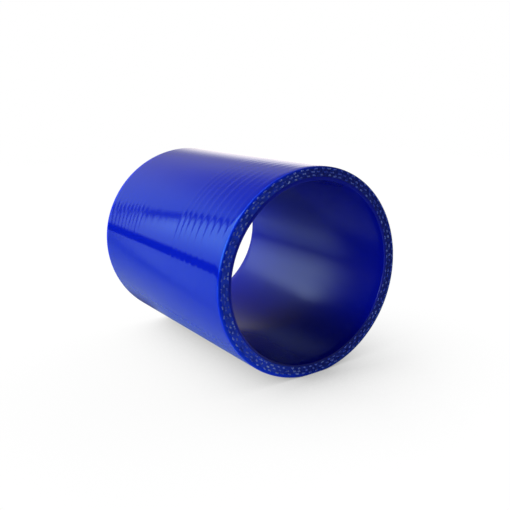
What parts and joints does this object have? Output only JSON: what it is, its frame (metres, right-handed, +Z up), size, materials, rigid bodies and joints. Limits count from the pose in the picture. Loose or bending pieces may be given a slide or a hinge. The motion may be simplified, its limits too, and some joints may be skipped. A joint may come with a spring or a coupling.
{
  "type": "straight silicone coupler",
  "caption": "Straight blue silicone coupler: a short fabric-reinforced hose, open at both cut ends, that joins pipes of the same size end to end.",
  "frame": {"origin": "on the surface that the hose lies on, below the middle of its whole length", "axes": "+Y along the hose's axis, from the near cut end to the far one; +Z up; +X to the right of someone looking along +Y"},
  "size_m": [0.0666, 0.0772, 0.064],
  "materials": {
    "blue_silicone": "glossy blue silicone cover with the faint marks of its curing wrap",
    "liner_silicone": "satin dark blue silicone liner inside the bore",
    "ply_fabric": "silicone-filled polyester plies seen end on in the cut ends, with pale thread ends"
  },
  "bodies": {
    "root": {"coupler": "blue_silicone"}
  },
  "joints": []
}
